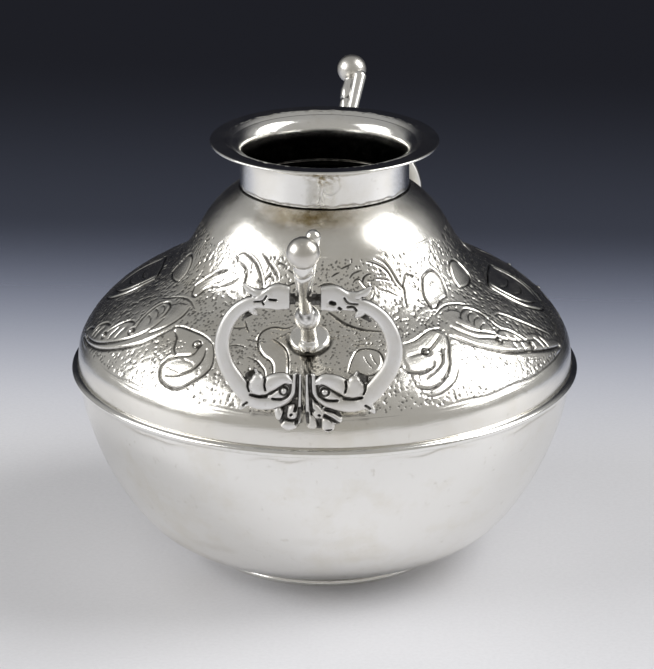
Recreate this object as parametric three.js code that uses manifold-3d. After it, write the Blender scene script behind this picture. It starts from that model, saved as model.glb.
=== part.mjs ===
// A squat two-piece silver pot with a short neck and two hinged drop handles.
// Millimetres, +Z up. The foot stands on z = 0, and the front handle faces -Y.
import * as THREE from "three";
import { mergeVertices } from "three/addons/utils/BufferGeometryUtils.js";
import Module from "manifold-3d";

const wasm = await Module();
wasm.setup();

// ---- driving dimensions -------------------------------------------------------------------------
const SEGMENTS = 48; // flats round the vessel
const SHEET = 0.9; // raised silver sheet
const GAP = 0.3; // kept between neighbouring pieces
const SOLDER = 0.1; // half the seam between two soldered edges

const GIRDLE_Z = 53.6; // widest plane, where the two halves of the body meet
const GIRDLE_R = 70; // outside of the girdle wire
const WALL_R = 68.2; // outside of the body at the girdle
const WIRE_HEIGHT = 2.6;

const FOOT_R = 32.3;
const FOOT_WIDTH = 1.4;
const FOOT_HEIGHT = 1.65;

const NECK_R = 23.1; // outside of the collar
const NECK_BASE_Z = 105.8;
const RIM_R = 31.2;
const RIM_Z = 118.7;

const DISC_R = 5.6; // boss under each stem
const DISC_THICK = 1.5;
const DISC_AT = [49.7, 78.5]; // radius and height of the boss centre on the shoulder
const DISC_SLOPE = THREE.MathUtils.degToRad(27.7); // fall of the shoulder there

const STEM_FOOT = [52.0, 78.5]; // radius and height where the stem meets the boss
const STEM_LEAN = THREE.MathUtils.degToRad(47.6); // rise above the horizontal
const STEM_TOP = 43.6; // stem length up to the ball
const PIVOT_ALONG = 23.8; // foot of the stem to the pivot
const KNOP_ALONG = 14;
const KNOP_R = 3.3;
const TAIL_R = 1.1;
const TAIL_LENGTH = 7.4; // riveted tail below the foot of the stem
const BALL_R = 4.27;
const BALL_ALONG = 48.3;
const SPIGOT_R = 1.1;
const SPIGOT_LENGTH = 4.6;
const PRONG_ROOT = { aside: 1.0, above: 0.9, along: 28.0, r: 1.3 }; // prong beside the ball, off the stem's axis
const PRONG_TIP = { // hand-made: the back prong stops lower than the front one
  front: { aside: 3.4, above: 4.3, along: 49.2, r: 1.95 },
  back: { aside: 3.8, above: 2.6, along: 44.5, r: 1.95 },
};

const PIN_R = 0.75;
const PIN_HOLE_R = 0.85; // running clearance of 0.1
const PIN_HALF_LENGTH = 7.5;

const HANDLE_THICK = 3.4;
const HANDLE_TILT = THREE.MathUtils.degToRad(3.0); // lean of the hanging handle on the shoulder
const HANDLE_SPREAD = { left: 0.945, right: 1.055 }; // hand-made: one scroll is wider than the other
const TRUNNION_R = 1.45;
const TRUNNION_IN = 2.1;
const TRUNNION_OUT = 5.2;

// ---- materials ----------------------------------------------------------------------------------
const silver = (color, roughness) => new THREE.MeshStandardMaterial({ color, roughness, metalness: 1 });

// ---- shape helpers ------------------------------------------------------------------------------
function solid(geometry) {
  const bare = geometry.index ? geometry.toNonIndexed() : geometry.clone();
  bare.deleteAttribute("normal");
  bare.deleteAttribute("uv");
  const merged = mergeVertices(bare, 1e-4);
  return new wasm.Manifold(
    new wasm.Mesh({
      numProp: 3,
      vertProperties: merged.attributes.position.array,
      triVerts: merged.index.array,
    }),
  );
}

function geometryOf(manifold) {
  const mesh = manifold.getMesh();
  const geometry = new THREE.BufferGeometry();
  geometry.setAttribute("position", new THREE.BufferAttribute(mesh.vertProperties, 3));
  geometry.setIndex(new THREE.BufferAttribute(mesh.triVerts, 1));
  geometry.computeVertexNormals();
  return geometry;
}

// A closed (radius, height) profile turned about the Z axis.
function turned(profile, segments = SEGMENTS) {
  return new THREE.LatheGeometry(profile, segments).rotateX(Math.PI / 2);
}

function smooth(points, count) {
  return new THREE.SplineCurve(points.map(([r, z]) => new THREE.Vector2(r, z))).getSpacedPoints(count);
}

// Moves an outline sideways by a distance, to the left of its direction when positive.
function offset(outline, distance) {
  return outline.map((point, i) => {
    const before = outline[Math.max(i - 1, 0)];
    const after = outline[Math.min(i + 1, outline.length - 1)];
    const along = after.clone().sub(before).normalize();
    return new THREE.Vector2(point.x - along.y * distance, point.y + along.x * distance);
  });
}

const closed = (profile) => [...profile, profile[0].clone()];
const points = (pairs) => pairs.map(([r, z]) => new THREE.Vector2(r, z));

// A cylinder from one station to another along the stem's axis.
function rodOnStem(radius, from, to, segments = 20) {
  const rod = new THREE.CylinderGeometry(radius, radius, to - from, segments);
  rod.rotateX(Math.PI / 2).translate(0, 0, (from + to) / 2);
  return onStem(rod);
}

// Puts a piece built along +Z from the stem's foot onto the front stem's axis.
function onStem(geometry) {
  geometry.rotateX(Math.PI / 2 - STEM_LEAN);
  return geometry.translate(0, -STEM_FOOT[0], STEM_FOOT[1]);
}

// Puts a piece built round +Z onto the front boss, lying on the slope of the shoulder.
function onBoss(geometry) {
  geometry.rotateX(DISC_SLOPE);
  return geometry.translate(0, -DISC_AT[0], DISC_AT[1]);
}

// The pivot's place on the front stem.
const PIVOT = new THREE.Vector3(
  0,
  -STEM_FOOT[0] - PIVOT_ALONG * Math.cos(STEM_LEAN),
  STEM_FOOT[1] + PIVOT_ALONG * Math.sin(STEM_LEAN),
);

// ---- body outlines ------------------------------------------------------------------------------
const BOWL_OUTSIDE = smooth(
  [
    [31.6, 2.15],
    [36.2, 3.75],
    [42.6, 6.6],
    [49.7, 11.5],
    [55.6, 18.7],
    [60.4, 26.9],
    [64.2, 35.6],
    [66.9, 44.4],
    [WALL_R, GIRDLE_Z - SOLDER],
  ],
  12,
);

const SHOULDER_OUTSIDE = smooth(
  [
    [WALL_R, GIRDLE_Z + SOLDER],
    [67.7, 60.7],
    [64.1, 67.2],
    [58.7, 72.7],
    [52.5, 77.0],
    [46.3, 80.3],
    [41.3, 83.6],
    [37.7, 87.6],
    [34.9, 92.4],
    [31.8, 97.5],
    [27.9, 101.9],
    [NECK_R, NECK_BASE_Z - SOLDER],
  ],
  16,
);

function bowl() {
  const floor = points([
    [0, 2.3],
    [16, 2.2],
  ]);
  const outside = [...floor, ...BOWL_OUTSIDE];
  const inside = offset(outside, SHEET).reverse();
  inside[inside.length - 1].x = 0;
  return turned([...outside, ...inside]);
}

function footRing() {
  const inner = FOOT_R - FOOT_WIDTH;
  const profile = points([
    [inner + 0.1, 0],
    [FOOT_R - 0.1, 0],
    [FOOT_R, 0.3],
    [FOOT_R - 0.15, FOOT_HEIGHT],
    [inner, FOOT_HEIGHT],
  ]);
  return turned(closed(profile));
}

// Half-round wire soldered over the seam between bowl and shoulder.
function girdleWire() {
  const flat = WALL_R + 0.2;
  const bulge = GIRDLE_R - flat;
  const profile = [];
  for (let i = 0; i <= 6; i++) {
    const angle = Math.PI * (i / 6 - 0.5);
    const z = GIRDLE_Z + (WIRE_HEIGHT / 2) * Math.sin(angle);
    profile.push(new THREE.Vector2(flat + bulge * Math.cos(angle), z));
  }
  return turned(closed(profile));
}

function shoulder() {
  const inside = offset(SHOULDER_OUTSIDE, SHEET).reverse();
  let shell = solid(turned(closed([...SHOULDER_OUTSIDE, ...inside])));
  const hole = rodOnStem(TAIL_R + GAP, -9, 4);
  shell = shell.subtract(solid(hole));
  shell = shell.subtract(solid(hole.clone().rotateZ(Math.PI)));
  return geometryOf(shell);
}

// A strip bent into a tube, with its top edge rolled outwards into a mouth.
function neckCollar() {
  const outside = smooth(
    [
      [NECK_R, NECK_BASE_Z + SOLDER],
      [NECK_R, 110.5],
      [23.2, 114.2],
      [24.0, 116.1],
      [25.5, 117.1],
    ],
    6,
  );
  const inside = offset(outside, SHEET).reverse();
  return turned(closed([...outside, ...inside]));
}

// The broad ring soldered round the mouth, slightly dished.
function brimRing() {
  const under = smooth(
    [
      [25.85, 116.9],
      [28.2, 117.35],
      [30.4, 117.75],
      [RIM_R, 117.95],
    ],
    4,
  );
  const top = under.map((p) => new THREE.Vector2(p.x, p.y + SHEET)).reverse();
  top[0].set(RIM_R, RIM_Z - 0.05);
  top[1].y += 0.06;
  return turned(closed([...under, ...top]));
}

// ---- lug pieces, built for the front lug ---------------------------------------------------------
// Everything under the shoulder's outside face, grown by a clearance, as one solid.
function shoulderBlock(clearance) {
  const face = offset(SHOULDER_OUTSIDE, -clearance);
  const profile = [new THREE.Vector2(0, face[0].y), ...face, new THREE.Vector2(0, face.at(-1).y)];
  return solid(turned(profile));
}

function lugDisc() {
  const profile = points([
    [0, -1.6],
    [DISC_R, -1.6],
    [DISC_R, DISC_THICK - 0.35],
    [DISC_R - 0.35, DISC_THICK],
    [0, DISC_THICK],
  ]);
  const disc = solid(onBoss(turned(profile, 24)));
  const hole = solid(rodOnStem(TAIL_R + GAP, -9, 6));
  return geometryOf(disc.subtract(shoulderBlock(GAP)).subtract(hole));
}

// Washer inside the shoulder that the tail is riveted over.
function innerRove() {
  const washer = solid(onBoss(new THREE.CylinderGeometry(4, 4, 0.9, 24).rotateX(Math.PI / 2)
    .translate(0, 1.3, -SHEET - 1.25)));
  const hole = solid(rodOnStem(TAIL_R + GAP, -12, 4));
  return geometryOf(washer.subtract(hole));
}

// Blunt prong that rises beside the ball. It is on the same hand of both lugs.
function prong(side, hand) {
  const [root, tip] = [PRONG_ROOT, PRONG_TIP[side]].map(({ aside, above, along, r }) =>
    solid(onStem(new THREE.SphereGeometry(r, 14, 8).translate(hand * aside, above, along))));
  const ballSpace = new THREE.SphereGeometry(BALL_R + GAP, 20, 14).translate(0, 0, BALL_ALONG);
  return wasm.Manifold.hull([root, tip]).subtract(solid(onStem(ballSpace)));
}

function lugStem(side, hand) {
  const profile = [new THREE.Vector2(0, -4), new THREE.Vector2(1.9, -4), new THREE.Vector2(1.85, 8)];
  for (let i = 0; i <= 6; i++) {
    const angle = Math.PI * (0.165 + 0.68 * (i / 6));
    const along = KNOP_ALONG - KNOP_R * Math.cos(angle);
    profile.push(new THREE.Vector2(KNOP_R * Math.sin(angle), along));
  }
  const baluster = smooth(
    [
      [1.58, 18.6],
      [1.55, 24],
      [1.7, 28],
      [2.1, 33],
      [2.35, 37],
    ],
    7,
  );
  profile.push(...baluster);
  profile.push(...points([
    [1.95, 37.9],
    [2.45, 38.8],
    [2.5, 41.2],
    [1.9, STEM_TOP],
    [SPIGOT_R, STEM_TOP],
    [SPIGOT_R, STEM_TOP + SPIGOT_LENGTH],
    [0, STEM_TOP + SPIGOT_LENGTH],
  ]));
  let stem = solid(onStem(turned(profile, 20)));
  const discSpace = new THREE.CylinderGeometry(9, 9, 12, 24).rotateX(Math.PI / 2);
  stem = stem.subtract(solid(onBoss(discSpace.translate(0, 0, DISC_THICK + GAP - 6))));
  stem = stem.add(solid(rodOnStem(TAIL_R, -TAIL_LENGTH, 4)));
  const head = new THREE.SphereGeometry(2.1, 16, 8).scale(1, 1, 0.45).translate(0, 0, -TAIL_LENGTH);
  stem = stem.add(solid(onStem(head))).add(prong(side, hand));
  const bore = new THREE.CylinderGeometry(PIN_HOLE_R, PIN_HOLE_R, 10, 16).rotateZ(Math.PI / 2);
  stem = stem.subtract(solid(bore.translate(PIVOT.x, PIVOT.y, PIVOT.z)));
  return geometryOf(stem);
}

function ballFinial() {
  const ball = solid(onStem(new THREE.SphereGeometry(BALL_R, 20, 14).translate(0, 0, BALL_ALONG)));
  const socket = rodOnStem(SPIGOT_R + GAP, 40, STEM_TOP + SPIGOT_LENGTH + GAP);
  const seat = rodOnStem(2.6, 40, STEM_TOP + GAP + 0.25);
  return geometryOf(ball.subtract(solid(socket)).subtract(solid(seat)));
}

function pivotPin() {
  return new THREE.CylinderGeometry(PIN_R, PIN_R, 2 * PIN_HALF_LENGTH, 16).rotateZ(Math.PI / 2);
}

// ---- handle -------------------------------------------------------------------------------------
// One scroll of the drop handle: x sideways from the centre line, y up from the pivot.
function scrollOutline(across) {
  const at = ([x, y]) => new THREE.Vector2(Math.max(x, 0.15) * across, y);
  const outline = new THREE.Shape();
  const start = (p) => outline.moveTo(at(p).x, at(p).y);
  const line = (...list) => list.forEach((p) => outline.lineTo(at(p).x, at(p).y));
  const curve = (...list) => outline.splineThru(list.map(at));
  start([0, -20]);
  line([3.5, -20]);
  curve([5.2, -20.9], [7.8, -21.0], [10.4, -20.2], [11.5, -18.1]); // volute leaf
  curve([12.8, -17.8], [14.3, -20.2]);
  curve([17.2, -18.4], [19.4, -15.6], [20.1, -12.2], [18.8, -8.6], [16.2, -5.9]); // inside of the arm
  line([13.6, -4.7]); // inner spur
  curve([12.0, -4.2], [8.5, -3.15], [4.9, -3.0], [4.1, -2.2]);
  line([4.1, 2.2]); // terminal face
  curve([4.9, 3.1], [6.8, 3.8], [9.2, 3.2], [11.6, 2.4], [14.2, 2.7], [16.6, 3.6]); // upper spur
  line([16.4, 0.9]);
  curve([19.6, -1.6], [22.3, -4.8], [24.0, -8.8], [24.35, -13], [23.4, -17.6], [21.2, -22], [18.0, -26]);
  line([16.4, -28.0]);
  line([17.3, -30.7]); // lower spur
  curve([13.5, -30.3], [8.5, -29.7]);
  curve([9.0, -31.5], [7.4, -34.2], [4.7, -35.9], [2.6, -35.2], [0, -33.0]); // spray lobes
  line([0, -20]);
  return outline;
}

function handleScroll(across) {
  const plate = new THREE.ExtrudeGeometry(scrollOutline(across), {
    depth: HANDLE_THICK,
    curveSegments: 2,
    bevelEnabled: false,
  }).translate(0, 0, -HANDLE_THICK / 2);
  const length = TRUNNION_OUT - TRUNNION_IN;
  const middle = (Math.sign(across) * (TRUNNION_OUT + TRUNNION_IN)) / 2;
  const trunnion = new THREE.CylinderGeometry(TRUNNION_R, TRUNNION_R, length, 16).rotateZ(Math.PI / 2);
  const bore = new THREE.CylinderGeometry(PIN_HOLE_R, PIN_HOLE_R, 2 * PIN_HALF_LENGTH + 2 * GAP, 16);
  const scroll = solid(plate).add(solid(trunnion.translate(middle, 0, 0)));
  return geometryOf(scroll.subtract(solid(bore.rotateZ(Math.PI / 2))));
}

// ---- assembly -----------------------------------------------------------------------------------
function piece(name, geometry, material) {
  const mesh = new THREE.Mesh(geometry, material);
  mesh.name = name;
  return mesh;
}

function vessel() {
  const group = new THREE.Group();
  group.add(piece("bowl", bowl(), silver(0xd3d2ce, 0.28)));
  group.add(piece("foot_ring", footRing(), silver(0xc4c3be, 0.35)));
  group.add(piece("girdle_wire", girdleWire(), silver(0xc9c8c3, 0.3)));
  group.add(piece("shoulder", shoulder(), silver(0xb9b7b0, 0.32)));
  group.add(piece("neck_collar", neckCollar(), silver(0xcfcdc7, 0.26)));
  group.add(piece("brim_ring", brimRing(), silver(0xc2c1bd, 0.22)));
  return group;
}

function lug(side, hand) {
  const group = new THREE.Group();
  group.add(piece(side + "_lug_disc", lugDisc(), silver(0xc6c4bd, 0.3)));
  group.add(piece(side + "_lug_stem", lugStem(side, hand), silver(0xbab8b1, 0.3)));
  group.add(piece(side + "_ball_finial", ballFinial(), silver(0xcccac4, 0.24)));
  group.add(piece(side + "_inner_rove", innerRove(), silver(0xa9a7a0, 0.4)));
  return group;
}

function handle(side) {
  const group = new THREE.Group();
  group.add(piece(side + "_pivot_pin", pivotPin(), silver(0x8f8d86, 0.4)));
  group.add(piece(side + "_handle_left_scroll", handleScroll(-HANDLE_SPREAD.left), silver(0xc7c5be, 0.3)));
  group.add(piece(side + "_handle_right_scroll", handleScroll(HANDLE_SPREAD.right), silver(0xc7c5be, 0.3)));
  group.position.copy(PIVOT);
  group.rotation.x = Math.PI / 2 - HANDLE_TILT;
  return group;
}

const pot = new THREE.Group();
pot.add(vessel());
for (const [side, turn, hand] of [["front", 0, 1], ["back", Math.PI, -1]]) {
  const station = new THREE.Group();
  station.add(lug(side, hand), handle(side));
  station.rotation.z = turn;
  pot.add(station);
}

export default pot;
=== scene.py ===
"""Looks of the silver pot. Shapes are in millimetres on the frame's axes, and are stored in metres."""
import math

import bpy
import numpy as np
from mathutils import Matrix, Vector

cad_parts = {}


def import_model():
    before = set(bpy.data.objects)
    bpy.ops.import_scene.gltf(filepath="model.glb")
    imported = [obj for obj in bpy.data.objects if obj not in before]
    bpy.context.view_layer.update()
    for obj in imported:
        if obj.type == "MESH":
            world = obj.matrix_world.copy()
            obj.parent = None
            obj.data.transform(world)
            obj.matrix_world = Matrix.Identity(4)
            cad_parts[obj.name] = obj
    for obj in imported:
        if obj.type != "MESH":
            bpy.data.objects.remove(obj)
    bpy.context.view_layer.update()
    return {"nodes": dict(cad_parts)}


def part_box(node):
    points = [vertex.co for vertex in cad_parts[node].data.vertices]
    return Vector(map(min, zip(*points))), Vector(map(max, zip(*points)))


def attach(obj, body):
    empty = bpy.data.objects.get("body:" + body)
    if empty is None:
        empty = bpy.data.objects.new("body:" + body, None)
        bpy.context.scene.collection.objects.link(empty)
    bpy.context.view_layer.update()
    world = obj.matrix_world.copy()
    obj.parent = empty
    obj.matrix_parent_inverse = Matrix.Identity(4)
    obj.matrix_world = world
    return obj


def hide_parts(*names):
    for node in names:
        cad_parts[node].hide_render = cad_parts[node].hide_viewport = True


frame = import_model()

# ---- sizes, in millimetres ---------------------------------------
MM = 0.001
SHEET = 0.9
COLUMNS = 1440  # round the shoulder
SHOULDER_ROWS = 240
PLAIN_COLUMNS = 360  # round the plain pieces
NECK_COLUMNS = 720
NECK_SEAM = 1.5  # degrees from the front handle to the soldered seam of the neck


def corner(node, which):
    """A corner of a CAD node's box in millimetres: 0 is the lowest, 1 the highest."""
    return np.array(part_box(node)[which]) / MM


GIRDLE_R = corner("girdle_wire", 1)[0]
GIRDLE_Z = (corner("girdle_wire", 0)[2] + corner("girdle_wire", 1)[2]) / 2
WALL_R = corner("shoulder", 1)[0]
FOOT_R = corner("foot_ring", 1)[0]
FOOT_TOP = corner("foot_ring", 1)[2]

# Outlines of the vessel's outside, as radius and height above the girdle plane.
BOWL_OUTLINE = [(0, -51.3), (16, -51.4), (31.6, -51.45), (36.2, -49.85), (42.6, -47), (49.7, -42.1),
    (55.6, -34.9), (60.4, -26.7), (64.2, -18), (66.9, -9.2), (68.2, -0.1)]
SHOULDER_OUTLINE = [(68.2, 0.1), (67.7, 7.1), (64.1, 13.6), (58.7, 19.1), (52.5, 23.4), (46.3, 26.7),
    (41.3, 30), (37.7, 34), (34.9, 38.8), (31.8, 43.9), (27.9, 48.3), (23.1, 52.1)]
NECK_OUTLINE = [(23.1, 52.3), (23.1, 56.9), (23.2, 60.6), (24, 62.5), (25.5, 63.5)]
BRIM_TOP = [(31.22, 64.7), (30.9, 64.94), (29.9, 65.0), (28.4, 65.0), (27.6, 64.97), (27.0, 64.86),
    (26.3, 64.56), (25.7, 64.22), (25.2, 63.9)]
BRIM_OUTLINE = [(25.7, 63.3), (28.2, 63.75), (30.4, 64.15), (31.2, 64.35)]

# ---- stage: metres, degrees and watts ----------------------------
CAMERA_AZIMUTH, CAMERA_ELEVATION = 4.5, 19.88
CAMERA_LENS, CAMERA_SENSOR, CAMERA_DISTANCE = 204.1, 36, 1.05
AIM_UP, AIM_RIGHT = (GIRDLE_Z + 8.26) * MM, 0.00066
SOFTBOX_AIM, SOFTBOX_DISTANCE = (0, 0, 0.06), 1.3
SOFTBOXES = {  # direction from the pot, width, height and power
    "left_softbox": ((-0.834, -0.234, 0.46), 1.0, 0.75, 9),
    "right_softbox": ((0.79, 0.06, 0.61), 0.72, 1.1, 12),
}
ROOM_COLOURS = [  # place from straight behind the pot, 0, to straight in front of it, 1
    (0.0, (0.012, 0.0125, 0.017)), (0.085, (0.016, 0.017, 0.022)), (0.135, (0.1, 0.1, 0.105)),
    (0.17, (0.24, 0.24, 0.24)), (0.21, (0.33, 0.33, 0.325)), (0.5, (0.36, 0.355, 0.345)),
    (1.0, (0.4, 0.39, 0.37)),
]
FLOOR_HALF = 1.8
FLOOR_FADES = [(0.05, 0.29, 0.92), (0.2, 0.5, 0.08)]  # from, to, and how much goes, along +Y
FLOOR_RIM = (0.45, 1.6)  # where the floor fades away all round

# ---- chased pattern of the shoulder ------------------------------
# One quarter of the pattern, in degrees from a handle's plane and millimetres up the shoulder from the
# girdle. It is mirrored into the other three quarters. A line is (width, depth, points), a border is
# (height, width, depth, darkness), and a bead is (degrees, millimetres up, radius).
PATTERN_LOW, PATTERN_HIGH = 9.8, 57.2
BORDERS = [(PATTERN_LOW, 0.7, 0.2, 0.7), (PATTERN_LOW - 0.9, 0.4, 0.1, 0.4), (PATTERN_HIGH, 0.8, 0.16, 0.3)]
BOSS_UP = 33.0  # middle of each lug's boss

VOLUTE_EDGE = [(28.5, 27.3), (26.5, 24.5), (25.3, 21), (25.8, 18.5), (27, 16.5), (28.5, 14.8), (30.3, 13),
    (32.5, 12.1), (35, 12.1), (37.5, 13.1), (39, 15), (39.6, 17), (39, 18.8), (37.5, 20.2), (35.5, 21.2),
    (33.3, 22), (32.2, 23), (32, 24.6), (31.8, 26.3)]
LEAF_UNDER = [(44.5, 29.2), (45.5, 27.4), (46.7, 25.7), (48.5, 23.2), (51, 20.7), (54.5, 18.2), (58, 16.3),
    (62, 14.4), (66, 12.9), (70, 11.9), (75, 11), (80, 10.6)]
PETAL = [(45, 39.4), (45.3, 43), (46, 44.6), (47.5, 46.7), (49, 48.2), (51, 49), (54, 49.5), (56, 49.2),
    (57.5, 48), (58.2, 46.4), (57.4, 44.4), (56.2, 42.4), (54.8, 41)]
BUD = [(64, 41.5), (64.6, 44.6), (67, 47.4), (70, 48.8), (73.4, 48.8), (76, 47), (76.8, 44.4), (75.2, 42.2),
    (71.6, 41.2), (67.6, 41), (64, 41.5)]
NECK_LEAF = [(38, 55.4), (35, 56.2), (32, 55.8), (29, 54.9), (26.5, 53.9), (24.5, 52.4), (23, 50.8),
    (21.8, 49), (21.4, 47.6)]
PALMETTE = [(78.6, 36.4), (78.8, 32), (79.8, 28.5), (81.8, 25.2), (84.5, 22.6), (87.5, 20.6), (91, 19.6)]
BIG_LEAF = [(5.8, 37), (8, 36.1), (11, 36.3), (13.2, 35.8), (15, 34.4), (15.6, 32.4), (15, 30), (13.8, 28),
    (12, 26.3), (10, 25.2), (8.8, 23.8), (8.3, 21.5), (8.2, 19)]
BIG_LEAF_VEIN = [(10.8, 32), (8.5, 30.8), (6.5, 29.2), (5.2, 27), (4.6, 24.5), (4.4, 22), (4.4, 19)]
LOW_PETAL = [(10.6, 21.5), (12, 25.5), (14, 28.5), (17, 29), (19.8, 27.8), (20.3, 25), (19, 22.2),
    (17, 20.7), (13.5, 20.4), (10.6, 21.5)]

BOTH_LINES = [
    # lobes of the long leaf and its veins
    (0.9, 0.26, [(59.5, 24.5), (61, 24.9), (63, 24.1), (65, 22), (66.4, 19.8), (67.1, 18.3)]),
    (0.5, 0.16, [(58.2, 31.2), (56.2, 31), (54.2, 29.6)]),
    (0.5, 0.16, [(57.8, 28.6), (56, 28.3), (54.4, 27)]),
    (0.5, 0.16, [(57.6, 33.4), (55.6, 33), (53.8, 31.4)]),
    (0.5, 0.16, [(61.4, 22.4), (61.9, 20.4), (61.8, 18.2)]),
    (0.5, 0.16, [(64, 21.2), (64.5, 18.8), (64.3, 16.8)]),
    (0.5, 0.16, [(70.6, 18), (71.5, 16), (71.6, 14.2)]),
    (0.5, 0.16, [(73, 17), (73.6, 15), (73.6, 13.6)]),
    (0.7, 0.2, [(44.2, 36.8), (46.5, 37.6), (49, 38.4), (52.5, 38.5), (56, 37.6), (59, 36.2), (61, 35.3)]),
    # buds of the second row
    (0.8, 0.24, BUD),
    (0.5, 0.15, [(51, 45.8), (52.6, 46.4), (54.2, 46.4)]),
    # leaves under the neck
    (0.7, 0.2, [(20.8, 49.8), (19.6, 51), (18, 51.2), (16.6, 50.4)]),
    (0.7, 0.2, [(7.6, 52.1), (9.5, 52.9), (11.2, 53.3)]),
    (0.7, 0.2, [(11.8, 54.2), (14.4, 54.9), (16.6, 55.4)]),
    (0.8, 0.22, [(2, 49.4), (5, 50.2), (8.4, 50), (11.6, 48.6)]),
    # palmette midway between the handles
    (1.0, 0.28, PALMETTE),
    (0.7, 0.22, [(81, 36.4), (81.2, 32.5), (82.2, 29), (84, 26.4), (86.8, 24.2), (91, 22.8)]),
    (0.9, 0.26, [(78.6, 36.4), (81, 37.6), (84, 38.2), (87, 38.6), (91, 38.8)]),
    (0.6, 0.18, [(84, 33.8), (86.8, 32.6), (91, 32.2)]),
    (0.6, 0.18, [(85, 29.6), (87.4, 28.4), (91, 28)]),
]
LEFT_LINES = [
    # volute beside the handle
    (1.0, 0.3, VOLUTE_EDGE),
    (0.9, 0.26, [(28.5, 27.3), (31, 28.6), (34, 29.5), (38, 29.9), (42, 29.9), (44.5, 29.2)]),
    (0.9, 0.26, [(29.5, 25), (28.9, 23), (29, 20.5), (30, 18.3), (32, 16.6), (34, 15.5), (36.5, 14.9)]),
    (1.0, 0.28, [(43, 27.6), (41, 26.2), (40, 24.2), (39.2, 22.6), (37.4, 21.1)]),
    # long leaf
    (1.1, 0.32, LEAF_UNDER),
    (0.8, 0.24, [(51.3, 30), (51.4, 27.5), (52.3, 25), (54, 22.6), (56.5, 20.4), (60, 18), (64, 15.8),
        (68, 14), (72, 12.8), (77, 11.8)]),
    (0.8, 0.24, [(46.6, 36.6), (45.9, 34), (46, 31.5), (47, 29), (48.8, 26.6), (51, 24.4)]),
    (0.9, 0.26, [(52.3, 30.2), (53, 32.4), (54.5, 34.3), (56.8, 34.9), (58.7, 33.6), (59.2, 31), (59, 28),
        (58.4, 26), (57.6, 24.3)]),
    (0.9, 0.26, [(69, 19.8), (71, 19.4), (73, 18.2), (74.5, 16.6), (75, 15)]),
    (0.8, 0.24, [(76.2, 14.8), (78.6, 14), (80.5, 12.6), (81.3, 11)]),
    # petal of the second row
    (0.9, 0.26, [(41, 50.5), (44, 49.7), (46.5, 48.7), (48.5, 47.5), (50.5, 46.2), (52.5, 44.3),
        (53.5, 43)]),
    (0.8, 0.22, [(41, 45.5), (44.5, 45), (47, 43.5), (48, 41.5), (49, 40.3), (51.6, 40.6), (53.5, 43)]),
    # leaves under the neck
    (0.9, 0.26, NECK_LEAF),
    (0.6, 0.2, [(35.5, 57), (31.5, 56.6), (28, 55.7), (25.2, 54.4), (23, 52.6), (21.2, 50.8)]),
    (0.9, 0.26, [(35.8, 53.2), (33, 52.7), (31, 51.8), (30, 50.5), (29.8, 48.8), (29.2, 47.2), (28, 45.8)]),
    (0.8, 0.24, [(39.6, 54.6), (37.6, 54.2), (36.8, 53)]),
    (0.9, 0.26, [(24.6, 57.1), (22.5, 56), (20, 54.4), (17.8, 53.2), (16, 52), (15, 50.8)]),
    (0.8, 0.24, [(41, 45.9), (38, 46.7), (35.2, 47.8), (33.3, 49.3)]),
    # big leaf beside the boss
    (1.0, 0.32, BIG_LEAF),
    (0.9, 0.3, BIG_LEAF_VEIN),
    (0.8, 0.24, [(16.4, 25.4), (13.5, 24.6), (11.8, 23.2), (10.6, 21.9), (10, 19.6)]),
    (0.8, 0.24, [(26, 34.2), (23.5, 34.5), (21, 35.1)]),
    (0.7, 0.2, [(22.6, 37.2), (20.8, 35.2), (19.2, 33.4)]),
    (0.6, 0.18, [(24.2, 27.3), (22, 28.4), (19.4, 28.6), (17, 27.8)]),
]
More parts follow.
